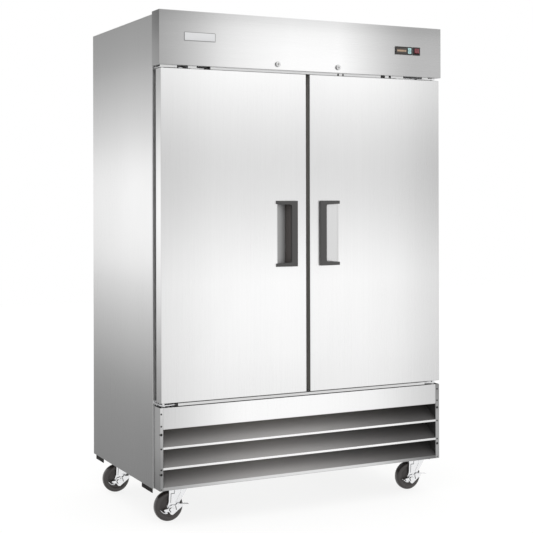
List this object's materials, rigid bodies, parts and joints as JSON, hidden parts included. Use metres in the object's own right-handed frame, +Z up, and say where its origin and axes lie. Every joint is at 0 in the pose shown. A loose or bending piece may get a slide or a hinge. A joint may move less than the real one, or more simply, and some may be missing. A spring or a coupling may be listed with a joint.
{
  "type": "reach-in refrigerator",
  "caption": "Upright two-door stainless reach-in refrigerator with recessed handles, key locks, bottom louvered grille and braked swivel casters.",
  "frame": {"origin": "centre of the footprint at floor level", "axes": "+X to the right seen from the front, +Y from the doors towards the back, +Z up"},
  "size_m": [1.3716, 0.8084, 2.092],
  "materials": {
    "stainless": "brushed, vertical grain on panels",
    "galvanised": "galvanised sheet, satin",
    "liner_steel": "satin stainless liner",
    "foam": "foamed polyurethane",
    "black_plastic": "fine moulded texture",
    "grey_plastic": "satin",
    "gasket_rubber": "soft matte",
    "caster_tyre": "semi-gloss hard rubber",
    "zinc": "bright zinc plate",
    "frame_paint": "satin black",
    "lens": "dark window",
    "button_key": "soft touch",
    "rocker_red": "gloss",
    "shelf_wire": "plated wire",
    "compressor_paint": "gloss black",
    "coil_fins": "thin fins",
    "fan_plastic": "satin"
  },
  "bodies": {
    "cabinet": {"back_panel": "galvanised", "base_frame": "frame_paint", "caster_plate_front_left": "zinc", "caster_plate_front_right": "zinc", "caster_plate_rear_left": "zinc", "caster_plate_rear_right": "zinc", "center_mullion": "stainless", "compressor": "compressor_paint", "condenser_coil": "coil_fins", "control_bezel": "black_plastic", "display_lens": "lens", "evaporator_cover": "liner_steel", "face_frame": "stainless", "foam_core": "foam", "header_panel": "stainless", "hinge_bottom_left": "zinc", "hinge_bottom_right": "zinc", "hinge_top_left": "zinc", "hinge_top_right": "zinc", "inner_liner": "liner_steel", "left_side_panel": "stainless", "lock_body_left": "zinc", "lock_body_right": "zinc", "louver_panel": "stainless", "name_plate": "grey_plastic", "right_side_panel": "stainless", "rocker_bezel": "black_plastic", "shelf_left_lower": "shelf_wire", "shelf_left_upper": "shelf_wire", "shelf_right_lower": "shelf_wire", "shelf_right_upper": "shelf_wire", "top_panel": "stainless", "unit_tray": "galvanised"},
    "door_left": {"door_skin_left": "stainless", "door_core_left": "liner_steel", "gasket_left": "gasket_rubber", "handle_left": "black_plastic"},
    "door_right": {"door_skin_right": "stainless", "door_core_right": "liner_steel", "gasket_right": "gasket_rubber", "handle_right": "black_plastic"},
    "lock_left": {"lock_plug_left": "zinc"},
    "lock_right": {"lock_plug_right": "zinc"},
    "rocker": {"rocker_switch": "rocker_red"},
    "key_up": {"button_up": "button_key"},
    "key_down": {"button_down": "button_key"},
    "evaporator_rotor": {"evaporator_fan": "fan_plastic"},
    "condenser_rotor": {"condenser_fan": "compressor_paint"},
    "fork_front_left": {"caster_fork_front_left": "zinc"},
    "wheel_front_left": {"caster_wheel_front_left": "caster_tyre"},
    "brake_front_left": {"caster_brake_front_left": "zinc"},
    "fork_front_right": {"caster_fork_front_right": "zinc"},
    "wheel_front_right": {"caster_wheel_front_right": "caster_tyre"},
    "brake_front_right": {"caster_brake_front_right": "zinc"},
    "fork_rear_left": {"caster_fork_rear_left": "zinc"},
    "wheel_rear_left": {"caster_wheel_rear_left": "caster_tyre"},
    "brake_rear_left": {"caster_brake_rear_left": "zinc"},
    "fork_rear_right": {"caster_fork_rear_right": "zinc"},
    "wheel_rear_right": {"caster_wheel_rear_right": "caster_tyre"},
    "brake_rear_right": {"caster_brake_rear_right": "zinc"}
  },
  "joints": [
    {"name": "door_left_hinge", "type": "hinge", "parent": "cabinet", "child": "door_left", "pos_m": [-0.6574, -0.36625, 1.18], "axis": [0, 0, -1], "range_deg": [0, 120]},
    {"name": "door_right_hinge", "type": "hinge", "parent": "cabinet", "child": "door_right", "pos_m": [0.6574, -0.36625, 1.18], "axis": [0, 0, 1], "range_deg": [0, 120]},
    {"name": "lock_left_turn", "type": "hinge", "parent": "cabinet", "child": "lock_left", "pos_m": [-0.147, -0.39525, 1.8945], "axis": [0, 1, 0], "range_deg": [0, 90]},
    {"name": "lock_right_turn", "type": "hinge", "parent": "cabinet", "child": "lock_right", "pos_m": [0.147, -0.39525, 1.8945], "axis": [0, 1, 0], "range_deg": [0, 90]},
    {"name": "rocker_tilt", "type": "hinge", "parent": "cabinet", "child": "rocker", "pos_m": [0.553, -0.38925, 1.984], "axis": [1, 0, 0], "range_deg": [0, 16]},
    {"name": "press_up", "type": "slide", "parent": "cabinet", "child": "key_up", "axis": [0, 1, 0], "range_m": [0, 0.001]},
    {"name": "press_down", "type": "slide", "parent": "cabinet", "child": "key_down", "axis": [0, 1, 0], "range_m": [0, 0.001]},
    {"name": "fan_evaporator", "type": "hinge", "parent": "cabinet", "child": "evaporator_rotor", "pos_m": [0, -0.21875, 1.845], "axis": [0, 1, 0], "continuous": true},
    {"name": "fan_condenser", "type": "hinge", "parent": "cabinet", "child": "condenser_rotor", "pos_m": [0.22, -0.23175, 0.3224], "axis": [0, 1, 0], "continuous": true},
    {"name": "swivel_front_left", "type": "hinge", "parent": "cabinet", "child": "fork_front_left", "pos_m": [-0.555, -0.25875, 0.145], "axis": [0, 0, 1], "continuous": true},
    {"name": "wheel_spin_front_left", "type": "hinge", "parent": "fork_front_left", "child": "wheel_front_left", "pos_m": [-0.593, -0.25875, 0.0625], "axis": [0, 1, 0], "continuous": true},
    {"name": "pedal_front_left", "type": "hinge", "parent": "fork_front_left", "child": "brake_front_left", "pos_m": [-0.579, -0.28575, 0.0605], "axis": [0, 1, 0], "range_deg": [-18, 0]},
    {"name": "swivel_front_right", "type": "hinge", "parent": "cabinet", "child": "fork_front_right", "pos_m": [0.632, -0.25875, 0.145], "axis": [0, 0, 1], "continuous": true},
    {"name": "wheel_spin_front_right", "type": "hinge", "parent": "fork_front_right", "child": "wheel_front_right", "pos_m": [0.594, -0.25875, 0.0625], "axis": [0, 1, 0], "continuous": true},
    {"name": "pedal_front_right", "type": "hinge", "parent": "fork_front_right", "child": "brake_front_right", "pos_m": [0.608, -0.28575, 0.0605], "axis": [0, 1, 0], "range_deg": [-18, 0]},
    {"name": "swivel_rear_left", "type": "hinge", "parent": "cabinet", "child": "fork_rear_left", "pos_m": [-0.585, 0.28125, 0.145], "axis": [0, 0, 1], "continuous": true},
    {"name": "wheel_spin_rear_left", "type": "hinge", "parent": "fork_rear_left", "child": "wheel_rear_left", "pos_m": [-0.623, 0.28125, 0.0625], "axis": [0, 1, 0], "continuous": true},
    {"name": "pedal_rear_left", "type": "hinge", "parent": "fork_rear_left", "child": "brake_rear_left", "pos_m": [-0.609, 0.25425, 0.0605], "axis": [0, 1, 0], "range_deg": [-18, 0]},
    {"name": "swivel_rear_right", "type": "hinge", "parent": "cabinet", "child": "fork_rear_right", "pos_m": [0.62, 0.28125, 0.145], "axis": [0, 0, 1], "continuous": true},
    {"name": "wheel_spin_rear_right", "type": "hinge", "parent": "fork_rear_right", "child": "wheel_rear_right", "pos_m": [0.582, 0.28125, 0.0625], "axis": [0, 1, 0], "continuous": true},
    {"name": "pedal_rear_right", "type": "hinge", "parent": "fork_rear_right", "child": "brake_rear_right", "pos_m": [0.596, 0.25425, 0.0605], "axis": [0, 1, 0], "range_deg": [-18, 0]}
  ]
}
